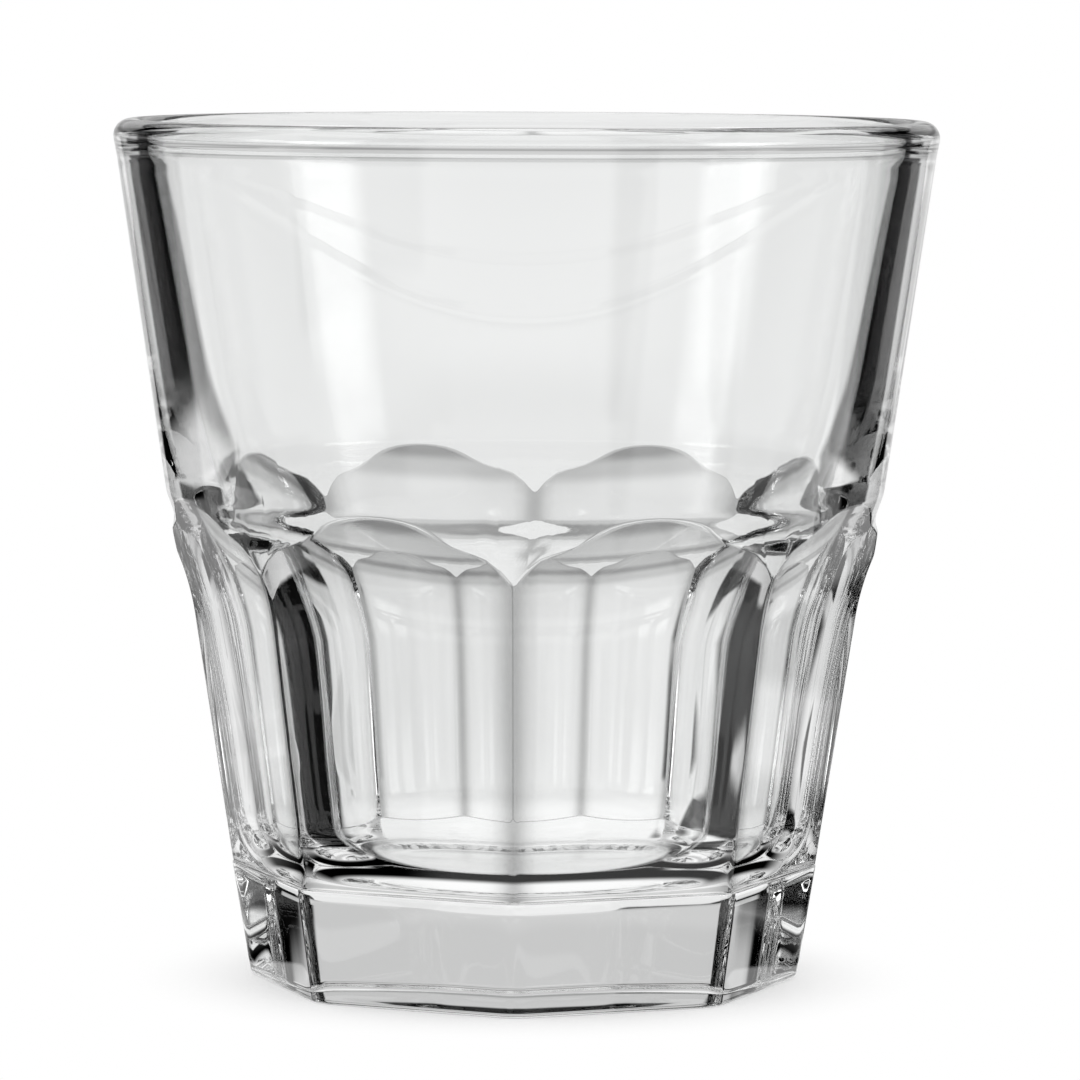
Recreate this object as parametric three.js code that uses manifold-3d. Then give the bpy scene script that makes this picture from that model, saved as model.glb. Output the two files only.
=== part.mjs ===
// A pressed rocks glass: a solid eight-sided base, eight flat panels with arched tops around the
// lower bowl, a plain tapering upper wall and a rounded lip. The glass is one piece, modelled here as
// its zones, which meet at level planes and at the ridges between the panels.
// Millimetres, +Z up, origin at the middle of the foot.
import * as THREE from 'three';
import { mergeVertices } from 'three/addons/utils/BufferGeometryUtils.js';
import Module from 'manifold-3d';

// Overall size.
const HEIGHT = 90;
const RIM_RADIUS = 43;

// Lip: a full round that swells a little past the wall.
const LIP_RADIUS = 1.75;
const LIP_SWELL = 0.06;
const LIP_WRAP = THREE.MathUtils.degToRad(12);
const LIP_ZONE = 4;

// Upper wall: a plain cone down to the shoulder, which runs round just above the panels' ridges.
// Its thickness grows downwards.
const SHOULDER_RADIUS = 36.9;
const SHOULDER_HEIGHT = 47;
const WALL_THICKNESS = 3.4;
const WALL_GROWTH = 0.03;

// Shallow groove above the shoulder. The panels cut it away at their middles.
const GROOVE_DEPTH = 0.48;
const GROOVE_DROP = 1.5;
const GROOVE_RISE = 3.2;

// Panels: flat from the base up to the runout, then curving out through the wall in an arch.
const PANEL_COUNT = 8;
const PANEL_FOOT_RADIUS = 28.4;
const PANEL_TOP_RADIUS = 32.1;
const RUNOUT_HEIGHT = 38;
const RUNOUT_RADIUS = 29;
const RUNOUT_SWEEP = THREE.MathUtils.degToRad(40);
const RIDGE_BLUNTING = 0.12;
const PANEL_ZONE_TOP = 54;

// Inside of the bowl: a rounded floor corner, a lower bore and a waist that opens to the upper bore.
// Slopes are radius over height, and the waist's radius is measured where the runout starts.
const BORE_FOOT_RADIUS = 24.2;
const BORE_SLOPE = 0.138;
const WAIST_RADIUS = 28.6;
const WAIST_SLOPE = 0.3;
const WAIST_ROUND = 1.2;
const FLOOR_FILLET = 7;

// Base: an eight-sided band as high as the drinking floor, a hair proud of the panels above it.
const BASE_HEIGHT = 12;
const BASE_FOOT_RADIUS = 26.9;
const BAND_STEP = 0.35;
const BAND_BLUNTING = 0.4;
const HEEL_RADIUS = 0.7;
const PUSH_UP_RADIUS = 20;
const PUSH_UP_DEPTH = 0.8;

// Hairline left between neighbouring zones, and the fineness of the round surfaces.
const ZONE_GAP = 0.05;
const SECTOR_STEPS = 10;
const ARC_STEPS = 8;
const CURVE_STEPS = 6;

const ROUND_STEPS = SECTOR_STEPS * PANEL_COUNT;
const SECTOR = (2 * Math.PI) / PANEL_COUNT;
const TO_RIDGE = 1 / Math.cos(SECTOR / 2);
const LIP_CENTRE = new THREE.Vector2(RIM_RADIUS - LIP_RADIUS, HEIGHT - LIP_RADIUS);
const WALL_TOP = HEIGHT - LIP_ZONE;

const wasm = await Module();
wasm.setup();

const point = (radius, z) => new THREE.Vector2(radius, z);

// Radius at height z on the straight line through two (radius, z) points.
function lineRadius(from, to, z) {
  return from.x + ((to.x - from.x) * (z - from.y)) / (to.y - from.y);
}

// Outside of the plain cone above the panels.
function coneRadius(z) {
  const top = point(RIM_RADIUS - LIP_SWELL, LIP_CENTRE.y);
  return lineRadius(point(SHOULDER_RADIUS, SHOULDER_HEIGHT), top, z);
}

// The same cone with the groove taken out of it.
function wallRadius(z) {
  const deepest = SHOULDER_HEIGHT + GROOVE_DROP;
  const below = THREE.MathUtils.smoothstep(z, SHOULDER_HEIGHT, deepest);
  const above = THREE.MathUtils.smoothstep(z, deepest, deepest + GROOVE_RISE);
  return coneRadius(z) - GROOVE_DEPTH * (below - above);
}

const PANEL_FOOT = point(PANEL_FOOT_RADIUS, BASE_HEIGHT);
const PANEL_TOP = point(PANEL_TOP_RADIUS, RUNOUT_HEIGHT);
const PANEL_LEAN = Math.atan2(PANEL_TOP.x - PANEL_FOOT.x, PANEL_TOP.y - PANEL_FOOT.y);

// Point of the runout, an arc tangent to the panel, after it has turned by an angle.
function runoutPoint(turn) {
  const radius = PANEL_TOP.x + RUNOUT_RADIUS * (Math.cos(PANEL_LEAN) - Math.cos(PANEL_LEAN + turn));
  const z = PANEL_TOP.y + RUNOUT_RADIUS * (Math.sin(PANEL_LEAN + turn) - Math.sin(PANEL_LEAN));
  return point(radius, z);
}

const BORE_LEAN = Math.atan(BORE_SLOPE);

// The lesser of two radii, with the corner between them rounded.
function roundedMin(a, b) {
  const near = Math.max(WAIST_ROUND - Math.abs(a - b), 0) / WAIST_ROUND;
  return Math.min(a, b) - (near ** 2 * WAIST_ROUND) / 4;
}

function lowerBore(z) {
  return BORE_FOOT_RADIUS + BORE_SLOPE * (z - BASE_HEIGHT);
}

// Inside of the bowl above the floor corner.
function boreRadius(z) {
  const waist = WAIST_RADIUS + WAIST_SLOPE * (z - RUNOUT_HEIGHT);
  const upper = coneRadius(z) - WALL_THICKNESS - WALL_GROWTH * (HEIGHT - z);
  return roundedMin(upper, -roundedMin(-lowerBore(z), -waist));
}

// Points of a radius function at even heights, both ends included.
function sample(radiusAt, from, to, steps) {
  return Array.from({ length: steps + 1 }, (_, i) => {
    const z = THREE.MathUtils.lerp(from, to, i / steps);
    return point(radiusAt(z), z);
  });
}

// Points of an arc round a centre, angles from the outward direction, both ends included.
function arc(centre, radius, from, to, steps) {
  return Array.from({ length: steps + 1 }, (_, i) => {
    const angle = THREE.MathUtils.lerp(from, to, i / steps);
    return point(centre.x + radius * Math.cos(angle), centre.y + radius * Math.sin(angle));
  });
}

// A solid turned about Z from a (radius, z) outline that runs up the outside and down the inside.
function turned(outline, steps) {
  const closed = [...outline, outline[0].clone()];
  return solid(new THREE.LatheGeometry(closed, steps).rotateX(Math.PI / 2));
}

function solid(geometry) {
  const bare = geometry.index === null ? geometry : geometry.toNonIndexed();
  bare.deleteAttribute('normal');
  bare.deleteAttribute('uv');
  const merged = mergeVertices(bare);
  const triVerts = [];
  const index = merged.index.array;
  for (let i = 0; i < index.length; i += 3) {
    const [a, b, c] = [index[i], index[i + 1], index[i + 2]];
    if (a !== b && b !== c && c !== a) {
      triVerts.push(a, b, c);
    }
  }
  const mesh = new wasm.Mesh({
    numProp: 3,
    vertProperties: new Float32Array(merged.attributes.position.array),
    triVerts: new Uint32Array(triVerts),
  });
  return new wasm.Manifold(mesh);
}

function clearGlass() {
  return new THREE.MeshStandardMaterial({
    color: 0xe9ecec,
    roughness: 0.03,
    metalness: 0,
    transparent: true,
    opacity: 0.35,
  });
}

function zone(name, body) {
  const { vertProperties, triVerts } = body.getMesh();
  const geometry = new THREE.BufferGeometry();
  geometry.setAttribute('position', new THREE.BufferAttribute(new Float32Array(vertProperties), 3));
  geometry.setIndex(new THREE.BufferAttribute(new Uint32Array(triVerts), 1));
  geometry.computeVertexNormals();
  const mesh = new THREE.Mesh(geometry, clearGlass());
  mesh.name = name;
  return mesh;
}

// Lip: the wall's last few millimetres and the full round on top of them.
function rimLip() {
  const seat = WALL_TOP + ZONE_GAP / 2;
  return turned(
    [
      point(boreRadius(seat), seat),
      point(coneRadius(seat), seat),
      ...arc(LIP_CENTRE, LIP_RADIUS, -LIP_WRAP, Math.PI + LIP_WRAP, ARC_STEPS + CURVE_STEPS),
    ],
    ROUND_STEPS,
  );
}

// Upper wall: a plain tapering ring between the panels and the lip, thicker towards its foot.
function upperWall() {
  const foot = PANEL_ZONE_TOP + ZONE_GAP / 2;
  const top = WALL_TOP - ZONE_GAP / 2;
  const outside = [point(wallRadius(foot), foot), point(coneRadius(top), top)];
  return turned([...outside, ...sample(boreRadius, top, foot, ARC_STEPS)], ROUND_STEPS);
}

// Round body of the lower bowl: blunted ridges outside up to the shoulder, then the grooved wall,
// and the bore with its floor corner inside.
function lowerBowlRound() {
  const foot = BASE_HEIGHT + ZONE_GAP / 2;
  const top = PANEL_ZONE_TOP - ZONE_GAP / 2;
  const ridge = (p) => point(p.x * TO_RIDGE - RIDGE_BLUNTING, p.y);
  const runout = Array.from({ length: ARC_STEPS + 1 }, (_, i) =>
    ridge(runoutPoint((RUNOUT_SWEEP * i) / ARC_STEPS)),
  ).filter((p) => p.y < SHOULDER_HEIGHT && p.x < coneRadius(p.y));
  const outside = [
    ridge(point(lineRadius(PANEL_FOOT, PANEL_TOP, foot), foot)),
    ...runout,
    ...sample(wallRadius, SHOULDER_HEIGHT, SHOULDER_HEIGHT + GROOVE_DROP, CURVE_STEPS / 2),
    ...sample(wallRadius, SHOULDER_HEIGHT + GROOVE_DROP, top, CURVE_STEPS).slice(1),
  ];
  const centreZ = BASE_HEIGHT + FLOOR_FILLET;
  const tangent = FLOOR_FILLET / Math.cos(BORE_LEAN);
  const centre = point(lowerBore(centreZ) - tangent, centreZ);
  const sunk = Math.asin((ZONE_GAP / 2 - FLOOR_FILLET) / FLOOR_FILLET);
  const inside = [
    ...sample(boreRadius, top, centreZ, 2 * CURVE_STEPS).slice(0, -1),
    ...arc(centre, FLOOR_FILLET, -BORE_LEAN, sunk, CURVE_STEPS),
  ];
  return turned([...outside, ...inside], ROUND_STEPS);
}

// Eight-sided body whose flats are the panels and whose curved tops cut the arches.
function panelFlats() {
  const end = runoutPoint(RUNOUT_SWEEP);
  const reach = point(end.x, Math.max(end.y, HEIGHT));
  const runout = Array.from({ length: 2 * ARC_STEPS + 1 }, (_, i) =>
    runoutPoint((RUNOUT_SWEEP * i) / (2 * ARC_STEPS)),
  );
  const outline = [PANEL_FOOT, ...runout, reach].map((p) => point(p.x * TO_RIDGE, p.y));
  return turned([point(0, BASE_HEIGHT), ...outline, point(0, reach.y)], PANEL_COUNT);
}

// Wedge of the bowl between two neighbouring ridges, a hairline inside both.
function panelWedge(number) {
  const inset = ZONE_GAP / 2 / Math.sin(SECTOR / 2);
  const reach = 2 * RIM_RADIUS;
  const outline = new THREE.Shape([
    point(inset, 0),
    point(inset + reach, -reach * Math.tan(SECTOR / 2)),
    point(inset + reach, reach * Math.tan(SECTOR / 2)),
  ]);
  const wedge = new THREE.ExtrudeGeometry(outline, { depth: HEIGHT, bevelEnabled: false });
  return solid(wedge.rotateZ((number - 0.5) * SECTOR));
}

// Base: the band's flats with blunted corners, a rounded heel and a push-up under the middle.
function solidBase() {
  const top = BASE_HEIGHT - ZONE_GAP / 2;
  const bandFoot = point(BASE_FOOT_RADIUS * TO_RIDGE, 0);
  const bandTop = point((PANEL_FOOT_RADIUS + BAND_STEP) * TO_RIDGE, BASE_HEIGHT);
  const cornerAt = (z) => lineRadius(bandFoot, bandTop, z);
  const outline = (inset) => [
    ...arc(
      point(cornerAt(HEEL_RADIUS) - inset - HEEL_RADIUS, HEEL_RADIUS),
      HEEL_RADIUS,
      -Math.PI / 2,
      0,
      CURVE_STEPS / 2,
    ),
    point(cornerAt(top) - inset, top),
    point(0, top),
  ];
  const sphere = (PUSH_UP_RADIUS ** 2 + PUSH_UP_DEPTH ** 2) / (2 * PUSH_UP_DEPTH);
  const domeAt = (radius) => PUSH_UP_DEPTH - sphere + Math.sqrt(sphere ** 2 - radius ** 2);
  const pushUp = Array.from({ length: CURVE_STEPS + 1 }, (_, i) => {
    const radius = (PUSH_UP_RADIUS * i) / CURVE_STEPS;
    return point(radius, domeAt(radius));
  });
  const round = turned([...pushUp, ...outline(BAND_BLUNTING)], ROUND_STEPS);
  return round.intersect(turned([point(0, 0), ...outline(0)], PANEL_COUNT));
}

const glass = new THREE.Group();
glass.name = 'rocks_glass';
glass.add(zone('rim_lip', rimLip()));
glass.add(zone('upper_wall', upperWall()));
const lowerBowl = lowerBowlRound().intersect(panelFlats());
for (let number = 1; number <= PANEL_COUNT; number += 1) {
  glass.add(zone(`panel_${number}`, lowerBowl.intersect(panelWedge(number))));
}
glass.add(zone('solid_base', solidBase()));

export default glass;
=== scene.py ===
"""A pressed rocks glass in clear glass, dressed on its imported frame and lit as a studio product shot."""

import logging
import math
from dataclasses import dataclass, field
from enum import Enum
from typing import Any, Sequence, Union

import bpy
from mathutils import Matrix, Vector


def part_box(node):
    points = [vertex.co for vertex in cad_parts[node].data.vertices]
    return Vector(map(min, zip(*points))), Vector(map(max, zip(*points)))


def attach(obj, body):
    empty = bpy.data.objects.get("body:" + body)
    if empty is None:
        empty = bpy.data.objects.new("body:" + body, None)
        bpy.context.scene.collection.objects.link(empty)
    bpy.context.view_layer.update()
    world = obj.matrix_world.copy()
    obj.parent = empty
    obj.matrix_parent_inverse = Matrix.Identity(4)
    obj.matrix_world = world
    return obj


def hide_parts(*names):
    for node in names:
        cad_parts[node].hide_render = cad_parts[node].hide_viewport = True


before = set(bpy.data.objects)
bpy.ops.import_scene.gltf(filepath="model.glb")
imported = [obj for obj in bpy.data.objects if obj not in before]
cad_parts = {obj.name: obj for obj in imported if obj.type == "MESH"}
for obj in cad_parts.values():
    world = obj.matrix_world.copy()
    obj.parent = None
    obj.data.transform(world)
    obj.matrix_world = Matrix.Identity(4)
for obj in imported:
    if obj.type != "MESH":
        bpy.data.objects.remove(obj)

logging.basicConfig(level=logging.INFO, format="%(message)s")
LOG = logging.getLogger("rocks_glass")

MM = 0.001
DEG = math.radians(1)
PHOTO_PIXELS = 1080
# Point attribute that carries painted shade under the panels' arches and along their ridges.
PAINTED_SHADE_NAME = "painted_edge_shade"
WHITE = (1.0, 1.0, 1.0, 1.0)
BLACK = (0.0, 0.0, 0.0, 1.0)
GLASS_BOUNCES = 32
MIRROR_BOUNCES = 16
BISECTIONS = 48

Number = Union[int, float]
RowPoint = tuple[float, float]


class Ray(Enum):
    """Kinds of ray that the studio's surfaces tell apart."""

    CAMERA = "Is Camera Ray"
    GLOSSY = "Is Glossy Ray"
    TRANSMISSION = "Is Transmission Ray"


class Shade:
    """A shader value that takes part in Python arithmetic and adds Math nodes as it does."""

    def __init__(self, bench: "NodeBench", socket: bpy.types.NodeSocket) -> None:
        """Wraps one output socket.

        Args:
            bench: The node tree's workbench.
            socket: The output socket that carries the value.
        """
        self.bench = bench
        self.socket = socket

    def math(self, operation: str, *others: Union["Shade", Number]) -> "Shade":
        """Applies a Math node to this value.

        Args:
            operation: The Math node's operation.
            others: Further operands.

        Returns:
            The result as a new value.
        """
        made = self.bench.node("ShaderNodeMath", {"operation": operation}, [self, *others])
        return Shade(self.bench, made.outputs[0])

    def __add__(self, other: Union["Shade", Number]) -> "Shade":
        """This value plus another."""
        return self.math("ADD", other)

    __radd__ = __add__

    def __mul__(self, other: Union["Shade", Number]) -> "Shade":
        """This value times another."""
        return self.math("MULTIPLY", other)

    __rmul__ = __mul__

    def __sub__(self, other: Union["Shade", Number]) -> "Shade":
        """This value less another."""
        return self.math("SUBTRACT", other)

    def __rsub__(self, other: Number) -> "Shade":
        """A number less this value."""
        return -self + other

    def __truediv__(self, other: Union["Shade", Number]) -> "Shade":
        """This value over another."""
        return self.math("DIVIDE", other)

    def __neg__(self) -> "Shade":
        """This value with its sign turned."""
        return self * -1

    def __abs__(self) -> "Shade":
        """This value without its sign."""
        return self.math("ABSOLUTE")

    def maximum(self, other: "Shade") -> "Shade":
        """The greater of this value and another."""
        return self.math("MAXIMUM", other)

    def blend(self, other: Union["Shade", Number], share: "Shade") -> "Shade":
        """This value moved towards another.

        Args:
            other: The value to move towards.
            share: How far to go, from 0 to 1.

        Returns:
            The value between the two.
        """
        return self + share * (other - self)

    def step(self, low: float, high: float) -> "Shade":
        """A smooth step from 0 at low to 1 at high.

        Args:
            low: The value where the step starts.
            high: The value where it ends.

        Returns:
            The step.
        """
        made = self.bench.node(
            "ShaderNodeMapRange",
            {"interpolation_type": "SMOOTHSTEP"},
            {"Value": self, "From Min": low, "From Max": high, "To Min": 0.0, "To Max": 1.0},
        )
        return Shade(self.bench, made.outputs[0])

    def band(self, low: float, high: float, blur: float) -> "Shade":
        """1 between two values and 0 outside them, with a soft edge inside each.

        Args:
            low: Where the band starts to rise.
            high: Where it is back at 0.
            blur: The width of each soft edge.

        Returns:
            The band.
        """
        return self.step(low, low + blur) * (1.0 - self.step(high - blur, high))


class NodeBench:
    """Adds nodes to one node tree."""

    def __init__(self, tree: bpy.types.NodeTree) -> None:
        """Clears the tree.

        Args:
            tree: The tree to build in.
        """
        self.tree = tree
        tree.nodes.clear()

    def node(
        self,
        kind: str,
        settings: dict[str, Any] | None = None,
        sockets: dict[Any, Any] | Sequence[Any] | None = None,
    ) -> bpy.types.Node:
        """Adds a node.

        Args:
            kind: The node's type.
            settings: Properties of the node, set first.
            sockets: Values or links of its inputs, by name or index, or in order.

        Returns:
            The node.
        """
        made = self.tree.nodes.new(kind)
        for name, value in (settings or {}).items():
            setattr(made, name, value)
        pairs = sockets.items() if isinstance(sockets, dict) else enumerate(sockets or [])
        for key, value in pairs:
            self.plug(made.inputs[key], value)
        return made

    def plug(self, socket: bpy.types.NodeSocket, value: Any) -> None:
        """Links or sets one input.

        Args:
            socket: The input.
            value: A Shade, an output socket or a plain value.
        """
        if isinstance(value, Shade):
            self.tree.links.new(value.socket, socket)
        elif isinstance(value, bpy.types.NodeSocket):
            self.tree.links.new(value, socket)
        else:
            socket.default_value = value

    def shade(self, made: bpy.types.Node, output: Union[int, str] = 0) -> Shade:
        """One output of a node as a value."""
        return Shade(self, made.outputs[output])

    def axes(self, way: bpy.types.NodeSocket) -> tuple[Shade, Shade, Shade]:
        """The three parts of a vector as values."""
        parts = self.node("ShaderNodeSeparateXYZ", sockets=[way])
        return self.shade(parts, "X"), self.shade(parts, "Y"), self.shade(parts, "Z")

    def ray(self, *kinds: Ray) -> Shade:
        """1 for a ray of any of these kinds and 0 for others.

        Args:
            kinds: The kinds of ray.

        Returns:
            The test as a value.
        """
        path = self.node("ShaderNodeLightPath")
        total = self.shade(path, kinds[0].value)
        for kind in kinds[1:]:
            total = total.maximum(self.shade(path, kind.value))
        return total


def smooth_step(value: float, low: float, high: float) -> float:
    """A smooth step from 0 at low to 1 at high.

    Args:
        value: Where to read it.
        low: Where it starts.
        high: Where it ends.

    Returns:
        The step, from 0 to 1.
    """
    share = min(max((value - low) / (high - low), 0.0), 1.0)
    return share * share * (3 - 2 * share)


def soft_min(a: float, b: float, width: float) -> float:
    """The lesser of two lengths, with the crease between them rounded.

    Args:
        a: The first length.
        b: The second length.
        width: The difference over which the crease is rounded.

    Returns:
        The rounded lesser length.
    """
    near = max(width - abs(a - b), 0.0) / width
    return min(a, b) - near * near * width / 4


def spread(low: float, high: float, steps: int) -> list[float]:
    """Even values from low to high, both included.

    Args:
        low: The first value.
        high: The last value.
        steps: The number of steps.

    Returns:
        The values.
    """
    return [low + (high - low) * i / steps for i in range(steps + 1)]


def arc(r: float, z: float, radius: float, angles: list[float]) -> list[RowPoint]:
    """Points of an arc in the glass's section.

    Args:
        r: The distance of the arc's centre from the axis.
        z: The height of the arc's centre.
        radius: The arc's own radius.
        angles: Where the points lie, 0 being level and outwards.

    Returns:
        The points as radius and height.
    """
    return [(r + radius * math.cos(angle), z + radius * math.sin(angle)) for angle in angles]


@dataclass(frozen=True)
class SkinSteps:
    """How finely the skin is divided, in rows from the push-up round to the floor and in columns."""

    push_up: int = 8
    heel: int = 8
    band: int = 8
    panel: int = 14
    runout: int = 18
    arch: int = 14
    shoulder: int = 22
    wall: int = 6
    lip: int = 32
    bore: int = 60
    floor_corner: int = 20
    floor_shares: tuple[float, ...] = (0.9, 0.6, 0.3, 0.0)
    ridge_columns: int = 8
    panel_columns: int = 22


@dataclass(frozen=True)
class GlassShape:
    """The glass's shape, in millimetres, as a radius for each height and turn about its axis."""

    height: float
    rim_radius: float
    base_height: float
    panel_count: int = 8
    lip_radius: float = 1.75
    lip_swell: float = 0.06
    lip_wrap: float = 12 * DEG
    lip_zone: float = 4.0
    shoulder_radius: float = 36.9
    shoulder_height: float = 47.0
    wall_thickness: float = 3.4
    wall_growth: float = 0.03
    groove_depth: float = 0.48
    groove_drop: float = 1.5
    groove_rise: float = 3.2
    panel_foot_radius: float = 28.4
    panel_top_radius: float = 32.1
    panel_start: float = 1.0
    panel_zone_top: float = 54.0
    runout_height: float = 38.0
    runout_radius: float = 29.0
    runout_limit: float = 0.95
    ridge_round: float = 1.2
    # How fast the painted shade fades away from a ridge.
    ridge_shade_fade: float = 1.75
    ridge_zone: float = 2.4 * DEG
    arch_round: float = 0.12
    # How dark the painted shade is under an arch, and how fast it fades below it.
    arch_shade_share: float = 0.5
    arch_shade_fade: float = 4.5
    arch_zone: float = 0.5
    bore_foot_radius: float = 24.2
    bore_slope: float = 0.138
    waist_radius: float = 28.6
    waist_slope: float = 0.3
    waist_round: float = 1.2
    floor_fillet: float = 7.0
    base_foot_radius: float = 26.9
    foot_flat: float = 1.0
    band_step: float = 0.35
    band_round: float = 4.8
    band_start: float = 0.1
    band_end: float = 0.15
    band_edge: tuple[RowPoint, ...] = ((0.06, 0.04), (0.16, 0.0))
    step_rises: tuple[float, ...] = (0.06, 0.3)
    heel_radius: float = 0.7
    push_up_radius: float = 20.0
    push_up_depth: float = 0.8
    steps: SkinSteps = SkinSteps()

    @property
    def half_sector(self) -> float:
        """Half the turn that one panel takes."""
        return math.pi / self.panel_count

    def cone(self, z: float) -> float:
        """Outside of the plain cone above the panels."""
        top = self.height - self.lip_radius
        share = (z - self.shoulder_height) / (top - self.shoulder_height)
        return self.shoulder_radius + (self.rim_radius - self.lip_swell - self.shoulder_radius) * share

    def wall(self, z: float) -> float:
        """Outside of the cone with the groove taken out of it."""
        deepest = self.shoulder_height + self.groove_drop
        below = smooth_step(z, self.shoulder_height, deepest)
        above = smooth_step(z, deepest, deepest + self.groove_rise)
        return self.cone(z) - self.groove_depth * (below - above)

    def panel(self, z: float) -> float:
        """Distance from the axis to a panel's flat, which curves out through the wall at its top."""
        rise = self.runout_height - self.base_height
        slope = (self.panel_top_radius - self.panel_foot_radius) / rise
        if z <= self.runout_height:
            return self.panel_foot_radius + slope * (z - self.base_height)
        lean = math.atan(slope)
        sine = min(math.sin(lean) + (z - self.runout_height) / self.runout_radius, self.runout_limit)
        return self.panel_top_radius + self.runout_radius * (math.cos(lean) - math.sqrt(1 - sine * sine))

    def bore(self, z: float) -> float:
        """Inside of the bowl above the floor corner: a lower bore, a steeper waist and the upper bore."""
        lower = self.bore_foot_radius + self.bore_slope * (z - self.base_height)
        waist = self.waist_radius + self.waist_slope * (z - self.runout_height)
        upper = self.cone(z) - self.wall_thickness - self.wall_growth * (self.height - z)
        return soft_min(upper, -soft_min(-lower, -waist, self.waist_round), self.waist_round)

    def flats(self, turn: float, flat: float, corner: float) -> float:
        """Radius of a many-sided outline with rounded corners.

        Args:
            turn: The angle from the middle of a side.
            flat: The distance from the axis to a side.
            corner: The radius of the rounded corners.

        Returns:
            The radius at that angle.
        """
        half = self.half_sector
        tangent = math.atan((flat - corner) * math.tan(half) / flat)
        if abs(turn) <= tangent:
            return flat / math.cos(turn)
        centre = (flat - corner) / math.cos(half)
        off = half - abs(turn)
        return centre * math.cos(off) + math.sqrt(corner**2 - (centre * math.sin(off)) ** 2)

    def body(self, turn: float, z: float) -> float:
        """Outside of the bowl above the base, at a turn from a panel's middle."""
        flat = self.flats(turn, self.panel(z), self.ridge_round)
        return soft_min(self.wall(z), flat, self.arch_round)

    def arch(self, turn: float) -> float:
        """Height where a panel's curved top meets the wall, by bisection."""
        low, high = self.runout_height, self.panel_zone_top
        for _ in range(BISECTIONS):
            middle = (low + high) / 2
            if self.flats(turn, self.panel(middle), self.ridge_round) < self.wall(middle):
                low = middle
            else:
                high = middle
        return low

    def band(self, turn: float, z: float, inset: float) -> float:
        """Outside of the base's band, drawn in by an inset."""
        share = z / self.base_height
        top = self.panel_foot_radius + self.band_step
        flat = self.base_foot_radius + (top - self.base_foot_radius) * share - inset
        return self.flats(turn, flat, self.band_round)

    def outline(self, turn: float) -> list[RowPoint]:
        """The section at a turn, from the underside's middle round the outside and inside to the floor's.

        Args:
            turn: The angle from a panel's middle.

        Returns:
            Points as radius and height, as many for every turn.
        """
        return [
            *self.underside(),
            *self.base_side(turn),
            *self.bowl_side(turn),
            *self.lip(),
            *self.inside(),
        ]

    def underside(self) -> list[RowPoint]:
        """The push-up, from the axis to its edge."""
        sphere = (self.push_up_radius**2 + self.push_up_depth**2) / (2 * self.push_up_depth)
        rows = spread(0.0, self.push_up_radius, self.steps.push_up)
        return [(r, self.push_up_depth - sphere + math.sqrt(sphere**2 - r * r)) for r in rows]

    def base_side(self, turn: float) -> list[RowPoint]:
        """The foot's flat, the heel and the band with its upper edge, at a turn from a panel's middle."""
        heel, top = self.heel_radius, self.base_height
        rows = [(self.band(turn, heel, heel) - self.foot_flat, 0.0)]
        for angle in spread(0.0, math.pi / 2, self.steps.heel):
            z = heel * (1 - math.cos(angle))
            rows.append((self.band(turn, heel, heel * (1 - math.sin(angle))), z))
        heights = spread(heel + self.band_start, top - self.band_end, self.steps.band)
        rows += [(self.band(turn, z, 0.0), z) for z in heights]
        rows += [(self.band(turn, top, inset), top - drop) for inset, drop in self.band_edge]
        return rows

    def bowl_heights(self, turn: float) -> list[float]:
        """Heights of the bowl's outside rows at a turn, close together at the arch."""
        base, arch, steps = self.base_height, self.arch(turn), self.steps
        below, above = arch - self.arch_zone, arch + self.arch_zone
        heights = [base + rise for rise in self.step_rises]
        heights += spread(base + self.panel_start, self.runout_height, steps.panel)
        heights += spread(self.runout_height, below, steps.runout)[1:]
        heights += spread(below, above, steps.arch)[1:]
        heights += spread(above, self.panel_zone_top, steps.shoulder)[1:]
        heights += spread(self.panel_zone_top, self.height - self.lip_zone, steps.wall)[1:]
        return heights

    def bowl_side(self, turn: float) -> list[RowPoint]:
        """The panel, its arched top and the wall, at a turn from the panel's middle."""
        return [(self.body(turn, z), z) for z in self.bowl_heights(turn)]

    def painted_edge_shade(self, turn: float) -> list[float]:
        """How much painted shade each point of the section takes under a panel's arch and along its ridges.

        Args:
            turn: The angle from a panel's middle.

        Returns:
            Shares from 0 to 1, in the order of the outline.
        """
        before = len(self.underside()) + len(self.base_side(turn))
        after = len(self.lip()) + len(self.inside())
        arch = self.arch(turn)
        shares = []
        for z in self.bowl_heights(turn):
            aside = self.panel(z) * (math.tan(self.half_sector) - math.tan(abs(turn)))
            under = self.arch_shade_share * math.exp(-max(arch - z, 0.0) / self.arch_shade_fade)
            beside = math.exp(-((aside / self.ridge_shade_fade) ** 2))
            shares.append(1 - (1 - under) * (1 - beside) if z <= arch else 0.0)
        return [0.0] * before + shares + [0.0] * after

    def lip(self) -> list[RowPoint]:
        """The full round of the lip."""
        lip = self.lip_radius
        angles = spread(-self.lip_wrap, math.pi + self.lip_wrap, self.steps.lip)
        return arc(self.rim_radius - lip, self.height - lip, lip, angles)

    def inside(self) -> list[RowPoint]:
        """The bore, the floor corner and the floor."""
        lean = math.atan(self.bore_slope)
        centre_z = self.base_height + self.floor_fillet
        centre_r = self.bore(centre_z) - self.floor_fillet / math.cos(lean)
        tangent = centre_z - self.floor_fillet * math.sin(lean)
        heights = spread(self.height - self.lip_zone, tangent, self.steps.bore)[:-1]
        corner = spread(-lean, -math.pi / 2, self.steps.floor_corner)
        return [
            *[(self.bore(z), z) for z in heights],
            *arc(centre_r, centre_z, self.floor_fillet, corner),
            *[(centre_r * share, self.base_height) for share in self.steps.floor_shares],
        ]

    def turns(self) -> list[float]:
        """Turns of one panel's columns from ridge to ridge, close together at the ridges."""
        half = self.half_sector
        inner = half - self.ridge_zone
        left = spread(-half, -inner, self.steps.ridge_columns)
        middle = spread(-inner, inner, self.steps.panel_columns)[1:-1]
        return [*left, *middle, *[-turn for turn in reversed(left)]]


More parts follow.
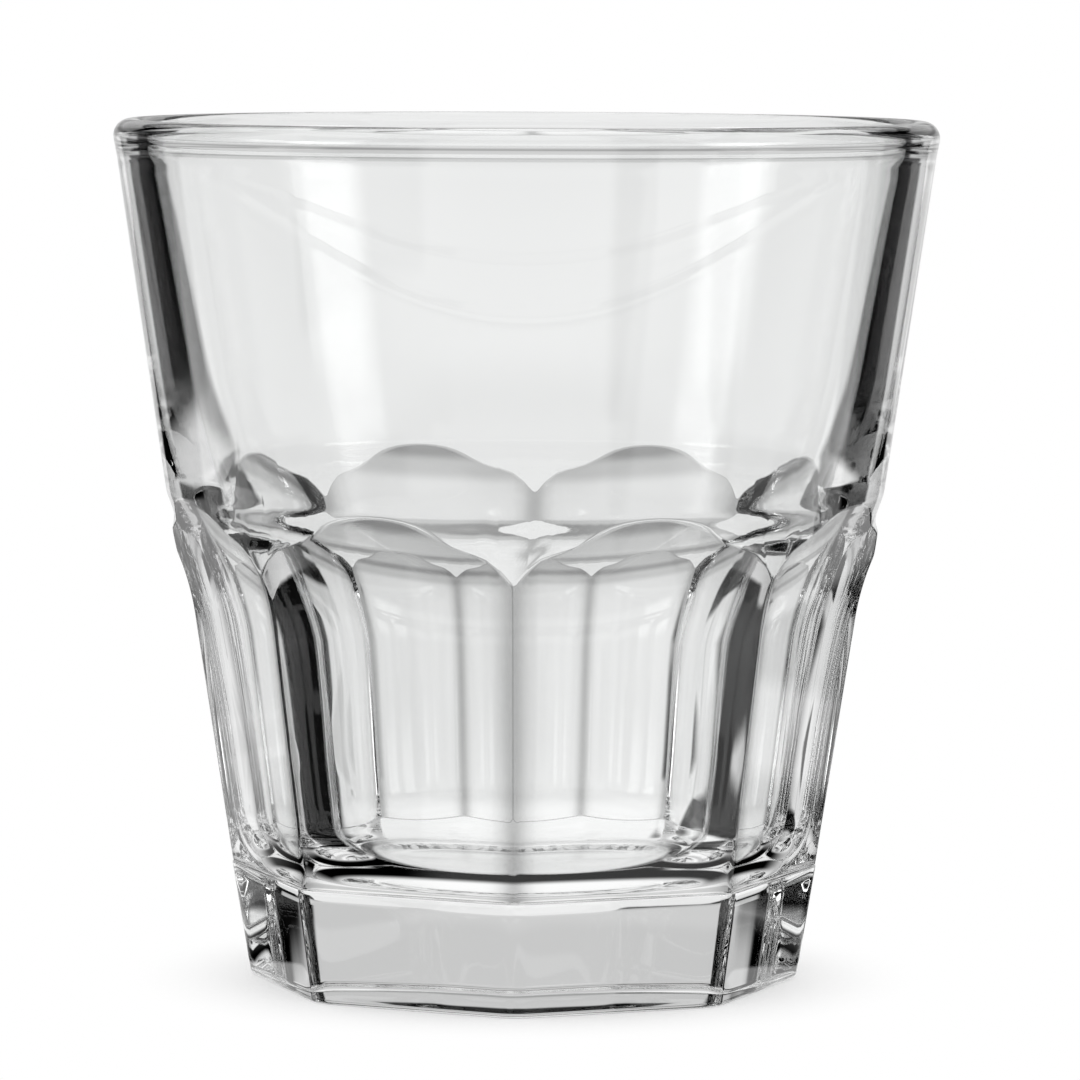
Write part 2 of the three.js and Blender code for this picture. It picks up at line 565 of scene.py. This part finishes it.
def panel_ring_tree() -> bpy.types.NodeTree:
    """Geometry Nodes that repeat one panel's sector round the axis and weld the copies into one body.

    Returns:
        The node tree.
    """
    tree = bpy.data.node_groups.new("panel_ring", "GeometryNodeTree")
    face = tree.interface
    face.new_socket("Sector", in_out="INPUT", socket_type="NodeSocketGeometry")
    for name, kind in (
        ("Panel Count", "NodeSocketInt"),
        ("Weld Distance", "NodeSocketFloat"),
        ("Finish", "NodeSocketMaterial"),
    ):
        face.new_socket(name, in_out="INPUT", socket_type=kind)
    face.new_socket("Glass", in_out="OUTPUT", socket_type="NodeSocketGeometry")
    bench = NodeBench(tree)
    inputs = bench.node("NodeGroupInput").outputs
    points = bench.node("GeometryNodePoints", sockets={"Count": inputs["Panel Count"]})
    index = bench.shade(bench.node("GeometryNodeInputIndex"))
    turn = index * math.tau / Shade(bench, inputs["Panel Count"])
    rotation = bench.node("ShaderNodeCombineXYZ", sockets={"Z": turn})
    copies = bench.node(
        "GeometryNodeInstanceOnPoints",
        sockets={
            "Points": points.outputs[0],
            "Instance": inputs["Sector"],
            "Rotation": rotation.outputs[0],
        },
    )
    solid = bench.node("GeometryNodeRealizeInstances", sockets=[copies.outputs[0]])
    welded = bench.node(
        "GeometryNodeMergeByDistance",
        sockets={"Geometry": solid.outputs[0], "Distance": inputs["Weld Distance"]},
    )
    smooth = bench.node("GeometryNodeSetShadeSmooth", sockets={"Geometry": welded.outputs[0]})
    finished = bench.node(
        "GeometryNodeSetMaterial",
        sockets={"Geometry": smooth.outputs[0], "Material": inputs["Finish"]},
    )
    bench.node("NodeGroupOutput", sockets=[finished.outputs[0]])
    return tree


@dataclass(frozen=True)
class ClearGlass:
    """Fire-polished clear glass, slightly wavy from pressing, with painted shade under the arches and
    ridges.
    """

    tint: tuple[float, float, float] = (0.985, 0.99, 0.988)
    refraction: float = 1.52
    roughness: float = 0.0
    wave_size: float = 0.016
    wave_height: float = 0.000004
    wave_detail: float = 1.0
    wave_roughness: float = 0.4
    # How far the painted shade darkens the glass's colour.
    painted_shade_depth: float = 0.72

    def material(self) -> bpy.types.Material:
        """Makes the material.

        Returns:
            The material.
        """
        made = bpy.data.materials.new("clear_glass")
        made.use_nodes = True
        bench = NodeBench(made.node_tree)
        place = bench.node("ShaderNodeTexCoord").outputs["Object"]
        waves = bench.node(
            "ShaderNodeTexNoise",
            sockets={
                "Vector": place,
                "Scale": 1 / self.wave_size,
                "Detail": self.wave_detail,
                "Roughness": self.wave_roughness,
            },
        )
        bump = bench.node(
            "ShaderNodeBump",
            sockets={"Strength": 1.0, "Distance": self.wave_height, "Height": waves.outputs[0]},
        )
        # Painted shade: the glass's colour darkens under the arches and along the ridges by the stored
        # share.
        edges = bench.shade(bench.node("ShaderNodeAttribute", {"attribute_name": PAINTED_SHADE_NAME}), "Fac")
        level = 1.0 - edges * self.painted_shade_depth
        colour = bench.node("ShaderNodeVectorMath", {"operation": "SCALE"}, {0: self.tint, "Scale": level})
        shader = bench.node(
            "ShaderNodeBsdfPrincipled",
            sockets={
                "Base Color": colour.outputs[0],
                "Roughness": self.roughness,
                "IOR": self.refraction,
                "Transmission Weight": 1.0,
                "Normal": bump.outputs[0],
            },
        )
        bench.node("ShaderNodeOutputMaterial", sockets={"Surface": shader.outputs[0]})
        return made


@dataclass
class RocksGlass:
    """The glass as one continuous body, built from one panel's sector."""

    shape: GlassShape
    finish: ClearGlass = field(default_factory=ClearGlass)
    weld: float = 0.002 * MM

    def sector(self) -> bpy.types.Mesh:
        """The skin of one panel's sector, from ridge to ridge, in metres.

        Returns:
            An open mesh whose two ridge edges meet those of its neighbours.
        """
        shape = self.shape
        columns = [
            [self.place(turn + shape.half_sector, r, z) for r, z in shape.outline(turn)]
            for turn in shape.turns()
        ]
        rows = len(columns[0])
        points = [point for column in columns for point in column]
        faces = []
        for c in range(len(columns) - 1):
            for r in range(rows - 1):
                here, there = c * rows + r, (c + 1) * rows + r
                corners = [here, there, there + 1, here + 1]
                if r == 0:
                    corners = [here, there + 1, here + 1]
                elif r == rows - 2:
                    corners = [here, there, here + 1]
                faces.append(corners)
        mesh = bpy.data.meshes.new("panel_sector")
        mesh.from_pydata(points, [], faces)
        mesh.update()
        # Painted shade under the arches and along the ridges, stored on every point.
        painted_shades = [share for turn in shape.turns() for share in shape.painted_edge_shade(turn)]
        mesh.attributes.new(PAINTED_SHADE_NAME, "FLOAT", "POINT").data.foreach_set("value", painted_shades)
        return mesh

    @staticmethod
    def place(turn: float, radius: float, z: float) -> tuple[float, float, float]:
        """A point of the glass in metres."""
        return (radius * math.cos(turn) * MM, radius * math.sin(turn) * MM, z * MM)

    def build(self) -> bpy.types.Object:
        """Repeats the sector round the axis and dresses the result.

        Returns:
            The finished piece, riding on the frame.
        """
        material = self.finish.material()
        maker = bpy.data.objects.new("panel_maker", self.sector())
        bpy.context.scene.collection.objects.link(maker)
        tree = panel_ring_tree()
        modifier = maker.modifiers.new("panel_ring", "NODES")
        modifier.node_group = tree
        settings = {
            "Panel Count": self.shape.panel_count,
            "Weld Distance": self.weld,
            "Finish": material,
        }
        for item in tree.interface.items_tree:
            if item.name in settings:
                modifier[item.identifier] = settings[item.name]
        maker.update_tag()
        graph = bpy.context.evaluated_depsgraph_get()
        mesh = bpy.data.meshes.new_from_object(maker.evaluated_get(graph))
        mesh.name = "glass_body"
        bpy.data.objects.remove(maker)
        piece = bpy.data.objects.new("glass_body", mesh)
        bpy.context.scene.collection.objects.link(piece)
        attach(piece, "root")
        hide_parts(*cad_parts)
        return piece


@dataclass(frozen=True)
class ScreenRing:
    """White screens round the stage, evenly spaced or in pairs, with dark gaps between them."""

    count: int = 4
    offset: float = 0.0
    aside: float = 0.0
    half: float = 23.5 * DEG
    blur: float = 4 * DEG
    gap_level: float = 0.004

    def level(self, bench: NodeBench, way: bpy.types.NodeSocket) -> Shade:
        """Brightness of the ring along a direction from the axis.

        Args:
            bench: The node tree's workbench.
            way: The direction or place, as a vector.

        Returns:
            1 on a screen, falling to the gap's level between screens.
        """
        x, y, _ = bench.axes(way)
        turn = math.tau / self.count
        share = ((y.math("ARCTAN2", x) - self.offset) / turn + 0.5).math("FRACT")
        away = abs(abs(share - 0.5) * turn - self.aside)
        return 1.0 - away.step(self.half, self.half + self.blur) * (1.0 - self.gap_level)


@dataclass(frozen=True)
class FloorMat:
    """A white mat on the floor, a sector of a ring round the glass."""

    sector: ScreenRing
    inner: float
    outer: float
    blur: float = 0.02

    def level(self, bench: NodeBench, place: bpy.types.NodeSocket, reach: Shade) -> Shade:
        """How much of the mat lies at a place.

        Args:
            bench: The node tree's workbench.
            place: The place on the floor.
            reach: Its distance from the axis.

        Returns:
            1 on the mat, falling to 0 beyond its soft edges.
        """
        return reach.band(self.inner, self.outer, self.blur) * self.sector.level(bench, place)


@dataclass(frozen=True)
class FloorLane:
    """A white lane across the floor's gaps, from the back left, where it opens wide, to the front right."""

    half: float = 0.036
    slim: float = 0.012
    wide: float = 0.09
    opening: float = 0.135
    blur: float = 0.012
    back: float = 0.19
    front: float = 0.44
    fade: float = 0.07
    shade: float = 0.3

    def closed(self, x: Shade, y: Shade) -> Shade:
        """How far a place on the floor keeps the gaps' dark.

        Args:
            x: The place's first coordinate.
            y: The place's second coordinate.

        Returns:
            0 on the lane, or its shade where it opens wide, and 1 away from it.
        """
        beside = abs(x + y) / math.sqrt(2)
        along = (x - y) / math.sqrt(2)
        behind = (-along).step(self.opening - self.blur, self.opening)
        half = self.slim + along.step(-self.blur, self.blur) * (self.half - self.slim)
        half = half + behind * (self.wide - self.slim)
        sides = (beside - half).step(0.0, self.blur)
        front = along.step(self.front, self.front + self.fade)
        back = (-along).step(self.back, self.back + self.fade)
        closed = sides.maximum(front).maximum(back)
        return 1.0 - (1.0 - closed) * (1.0 - behind * self.shade)


@dataclass(frozen=True)
class FootRing:
    """The dark round the foot: a ring in front with a light slot at each side, and a grey heel behind."""

    inner: float = 0.0185
    outer: float = 0.05
    blur: float = 0.004
    back: float = 0.004
    back_fade: float = 0.016
    slot_inner: float = 0.0262
    slot_outer: float = 0.0325
    slot_blur: float = 0.001
    slot_front: float = -0.017
    slot_fade: float = 0.005
    heel_inner: float = 0.0205
    heel_outer: float = 0.031
    heel_shade: float = 0.4

    def level(self, reach: Shade, y: Shade) -> Shade:
        """How dark a place near the foot is.

        Args:
            reach: The place's distance from the axis.
            y: Its coordinate towards the back.

        Returns:
            1 where it is black, 0 where it is white.
        """
        behind = y.step(self.back, self.back + self.back_fade)
        sideways = y.step(self.slot_front, self.slot_front + self.slot_fade)
        slot = reach.band(self.slot_inner, self.slot_outer, self.slot_blur) * sideways
        ring = reach.band(self.inner, self.outer, self.blur) * (1.0 - slot)
        heel = reach.band(self.heel_inner, self.heel_outer, self.blur) * self.heel_shade
        return ring * (1.0 - behind) + heel * behind


@dataclass(frozen=True)
class StudioFloor:
    """A plain pale round floor that keeps the glass's shadow, with dark gaps that only the glass shows."""

    screens: ScreenRing
    near_screens: ScreenRing = ScreenRing(count=2, aside=90 * DEG, half=32 * DEG, blur=6 * DEG)
    mats: tuple[FloorMat, ...] = (
        FloorMat(ScreenRing(1, -135 * DEG, half=22 * DEG, gap_level=0.0), 0.13, 0.275),
        FloorMat(ScreenRing(1, 35 * DEG, half=17 * DEG, blur=5 * DEG, gap_level=0.0), 0.102, 0.17),
    )
    lane: FloorLane = FloorLane()
    foot: FootRing = FootRing()
    colour: tuple[float, float, float] = (0.96, 0.96, 0.96)
    radius: float = 0.9
    corners: int = 96
    fade_start: float = 0.014
    fade_end: float = 0.042
    near_start: float = 0.031
    near_full: float = 0.036
    far_start: float = 0.14
    far_full: float = 0.16
    veil: float = 0.13
    veil_start: float = 0.055
    veil_full: float = 0.1

    def build(self) -> bpy.types.Object:
        """Makes the floor.

        Returns:
            The floor.
        """
        turns = [math.tau * i / self.corners for i in range(self.corners)]
        rim = [(self.radius * math.cos(turn), self.radius * math.sin(turn), 0.0) for turn in turns]
        mesh = bpy.data.meshes.new("studio_floor")
        mesh.from_pydata(rim, [], [tuple(range(self.corners))])
        mesh.materials.append(self.material())
        floor = bpy.data.objects.new("studio_floor", mesh)
        bpy.context.scene.collection.objects.link(floor)
        return floor

    def dark(self, bench: NodeBench, place: bpy.types.NodeSocket, reach: Shade) -> Shade:
        """How dark the glass sees each place of the floor.

        Args:
            bench: The node tree's workbench.
            place: The place on the floor.
            reach: Its distance from the axis.

        Returns:
            1 where it is black, 0 where it is white.
        """
        x, y, _ = bench.axes(place)
        far = reach.step(self.far_start, self.far_full)
        near = (1.0 - far) * reach.step(self.near_start, self.near_full)
        gaps = near * (1.0 - self.near_screens.level(bench, place))
        gaps = gaps.maximum(far * (1.0 - self.screens.level(bench, place)))
        gaps = gaps * self.lane.closed(x, y)
        for mat in self.mats:
            gaps = gaps * (1.0 - mat.level(bench, place, reach))
        veil = self.veil * reach.step(self.veil_start, self.veil_full)
        return gaps.maximum(self.foot.level(reach, y)).maximum(veil)

    def material(self) -> bpy.types.Material:
        """Makes the floor's material, white to the lens away from the glass and dark in the gaps through it.

        Returns:
            The material.
        """
        made = bpy.data.materials.new("studio_floor")
        made.use_nodes = True
        bench = NodeBench(made.node_tree)
        place = bench.node("ShaderNodeTexCoord").outputs["Object"]
        reach = bench.shade(bench.node("ShaderNodeVectorMath", {"operation": "LENGTH"}, [place]), "Value")
        through = bench.ray(Ray.GLOSSY, Ray.TRANSMISSION)
        bare = reach.step(self.fade_start, self.fade_end) * bench.ray(Ray.CAMERA)
        seen = bare.maximum(through)
        dark = through * self.dark(bench, place, reach)
        paper = bench.node("ShaderNodeBsdfDiffuse", sockets={"Color": (*self.colour, 1.0)})
        white = bench.node("ShaderNodeEmission", sockets={"Color": WHITE, "Strength": 1.0})
        black = bench.node("ShaderNodeEmission", sockets={"Color": BLACK, "Strength": 0.0})
        pale = bench.node("ShaderNodeMixShader", sockets=[seen, paper.outputs[0], white.outputs[0]])
        mixed = bench.node("ShaderNodeMixShader", sockets=[dark, pale.outputs[0], black.outputs[0]])
        bench.node("ShaderNodeOutputMaterial", sockets={"Surface": mixed.outputs[0]})
        return made


@dataclass(frozen=True)
class SoftBoxes:
    """Two tall soft boxes in front of the glass, one at each side, which give the wall its streaks."""

    pair: ScreenRing = ScreenRing(1, -90 * DEG, aside=70 * DEG, half=8 * DEG, blur=6 * DEG, gap_level=0.0)
    foot: float = 3 * DEG
    top: float = 19 * DEG
    blur: float = 4 * DEG
    strength: float = 2.4

    def level(self, bench: NodeBench, way: bpy.types.NodeSocket, rise: Shade) -> Shade:
        """Brightness of the boxes.

        Args:
            bench: The node tree's workbench.
            way: The direction.
            rise: Its angle above the level.

        Returns:
            The boxes' strength on them, 0 beside them.
        """
        return self.pair.level(bench, way) * rise.band(self.foot, self.top, self.blur) * self.strength


@dataclass(frozen=True)
class StudioSurround:
    """Soft even light all round, white to the lens, with screens and gaps that only the glass shows.

    From the level upwards the glass sees white screens, then a dusk that dips in brightness, then the dark
    studio with an even fill in front and a grey backdrop with a notch behind, and at last a pale ceiling.
    """

    screens: ScreenRing
    boxes: SoftBoxes = SoftBoxes()
    glow: ScreenRing = ScreenRing(half=34.5 * DEG, blur=3 * DEG)
    narrow: ScreenRing = ScreenRing(half=26 * DEG)
    backdrop: ScreenRing = ScreenRing(1, 90 * DEG, half=33 * DEG, blur=3 * DEG)
    fill: ScreenRing = ScreenRing(1, -90 * DEG, half=80 * DEG, blur=10 * DEG, gap_level=0.0)
    fill_low: float = 15 * DEG
    fill_high: float = 19 * DEG
    dusk_low: float = -2.2 * DEG
    dusk_high: float = 1.0 * DEG
    dusk_level: float = 0.64
    narrow_low: float = 3.2 * DEG
    narrow_high: float = 4 * DEG
    dip_low: float = 3 * DEG
    dip_high: float = 6 * DEG
    dip_level: float = 0.36
    night_low: float = 6.5 * DEG
    night_high: float = 10 * DEG
    night_level: float = 0.61
    notch_low: float = 19 * DEG
    notch_high: float = 25.5 * DEG
    notch_blur: float = 1.5 * DEG
    ceiling_low: float = 36 * DEG
    ceiling_high: float = 50 * DEG
    ceiling_level: float = 0.85
    paper: float = 0.87
    light: float = 1.0

    def build(self) -> bpy.types.World:
        """Makes the world.

        Returns:
            The world, set on the scene.
        """
        world = bpy.data.worlds.new("studio_surround")
        world.use_nodes = True
        bench = NodeBench(world.node_tree)
        way = bench.node("ShaderNodeTexCoord").outputs["Generated"]
        behind = self.behind(bench, way)
        strength = self.light + bench.ray(Ray.GLOSSY, Ray.TRANSMISSION) * (behind - self.light)
        back = bench.node("ShaderNodeBackground", sockets={"Color": WHITE, "Strength": strength})
        bench.node("ShaderNodeOutputWorld", sockets={"Surface": back.outputs[0]})
        bpy.context.scene.world = world
        return world

    def behind(self, bench: NodeBench, way: bpy.types.NodeSocket) -> Shade:
        """Brightness of the surround as the glass sees it.

        Args:
            bench: The node tree's workbench.
            way: The direction.

        Returns:
            The brightness, where 1 is white.
        """
        rise = bench.axes(way)[2].math("ARCSINE")
        cut = rise.step(self.narrow_low, self.narrow_high) * (1.0 - self.narrow.level(bench, way))
        dip = rise.step(self.dip_low, self.dip_high) * (self.dip_level - self.dusk_level)
        dusk = (self.dusk_level + dip) * self.glow.level(bench, way) * (1.0 - cut)
        notch = rise.band(self.notch_low, self.notch_high, self.notch_blur)
        fill = self.fill.level(bench, way) * (1.0 - rise.step(self.fill_low, self.fill_high))
        night = self.night_level * self.backdrop.level(bench, way) * (1.0 - notch) + fill
        sky = dusk.blend(night, rise.step(self.night_low, self.night_high))
        sky = sky.blend(self.ceiling_level, rise.step(self.ceiling_low, self.ceiling_high))
        screens = self.paper * self.screens.level(bench, way)
        seen = screens.blend(sky, rise.step(self.dusk_low, self.dusk_high))
        return seen + self.boxes.level(bench, way, rise)


@dataclass(frozen=True)
class ProductCamera:
    """The photograph's camera: a long lens a little above the rim, turned a touch to the right."""

    focal_pixels: float = 6274.0
    distance: float = 0.655
    height: float = 0.1039
    turn: float = 1.8 * DEG
    pitch: float = 5.05 * DEG
    yaw: float = -0.137 * DEG
    roll: float = 0.25 * DEG
    sensor: float = 36.0

    def build(self) -> bpy.types.Object:
        """Makes the camera.

        Returns:
            The camera, set on the scene.
        """
        data = bpy.data.cameras.new("product_camera")
        data.sensor_width = self.sensor
        data.lens = self.focal_pixels / PHOTO_PIXELS * self.sensor
        camera = bpy.data.objects.new("product_camera", data)
        place = Vector((math.sin(self.turn), -math.cos(self.turn), 0.0)) * self.distance
        place.z = self.height
        aim = (
            Matrix.Rotation(self.turn + self.yaw, 4, "Z")
            @ Matrix.Rotation(math.pi / 2 - self.pitch, 4, "X")
            @ Matrix.Rotation(self.roll, 4, "Z")
        )
        camera.matrix_world = Matrix.Translation(place) @ aim
        bpy.context.scene.collection.objects.link(camera)
        bpy.context.scene.camera = camera
        return camera


def shape_from_frame() -> GlassShape:
    """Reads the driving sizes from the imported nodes.

    Returns:
        The glass's shape in millimetres.
    """
    rim_low, rim_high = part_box("rim_lip")
    base_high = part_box("solid_base")[1]
    return GlassShape(
        height=rim_high.z / MM,
        rim_radius=(rim_high.x - rim_low.x) / 2 / MM,
        base_height=round(base_high.z / MM, 1),
    )


def main() -> None:
    """Builds the glass and its studio, and reports each piece."""
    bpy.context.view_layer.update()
    scene = bpy.context.scene
    scene.view_settings.view_transform = "Standard"
    scene.cycles.max_bounces = GLASS_BOUNCES
    scene.cycles.transmission_bounces = GLASS_BOUNCES
    scene.cycles.glossy_bounces = MIRROR_BOUNCES
    camera = ProductCamera().build()
    LOG.info("camera %s", camera.name)
    glass = RocksGlass(shape_from_frame()).build()
    LOG.info("piece %s with %d faces", glass.name, len(glass.data.polygons))
    screens = ScreenRing()
    floor = StudioFloor(screens).build()
    LOG.info("stage %s", floor.name)
    world = StudioSurround(screens).build()
    LOG.info("surround %s", world.name)


if __name__ == "__main__":
    main()
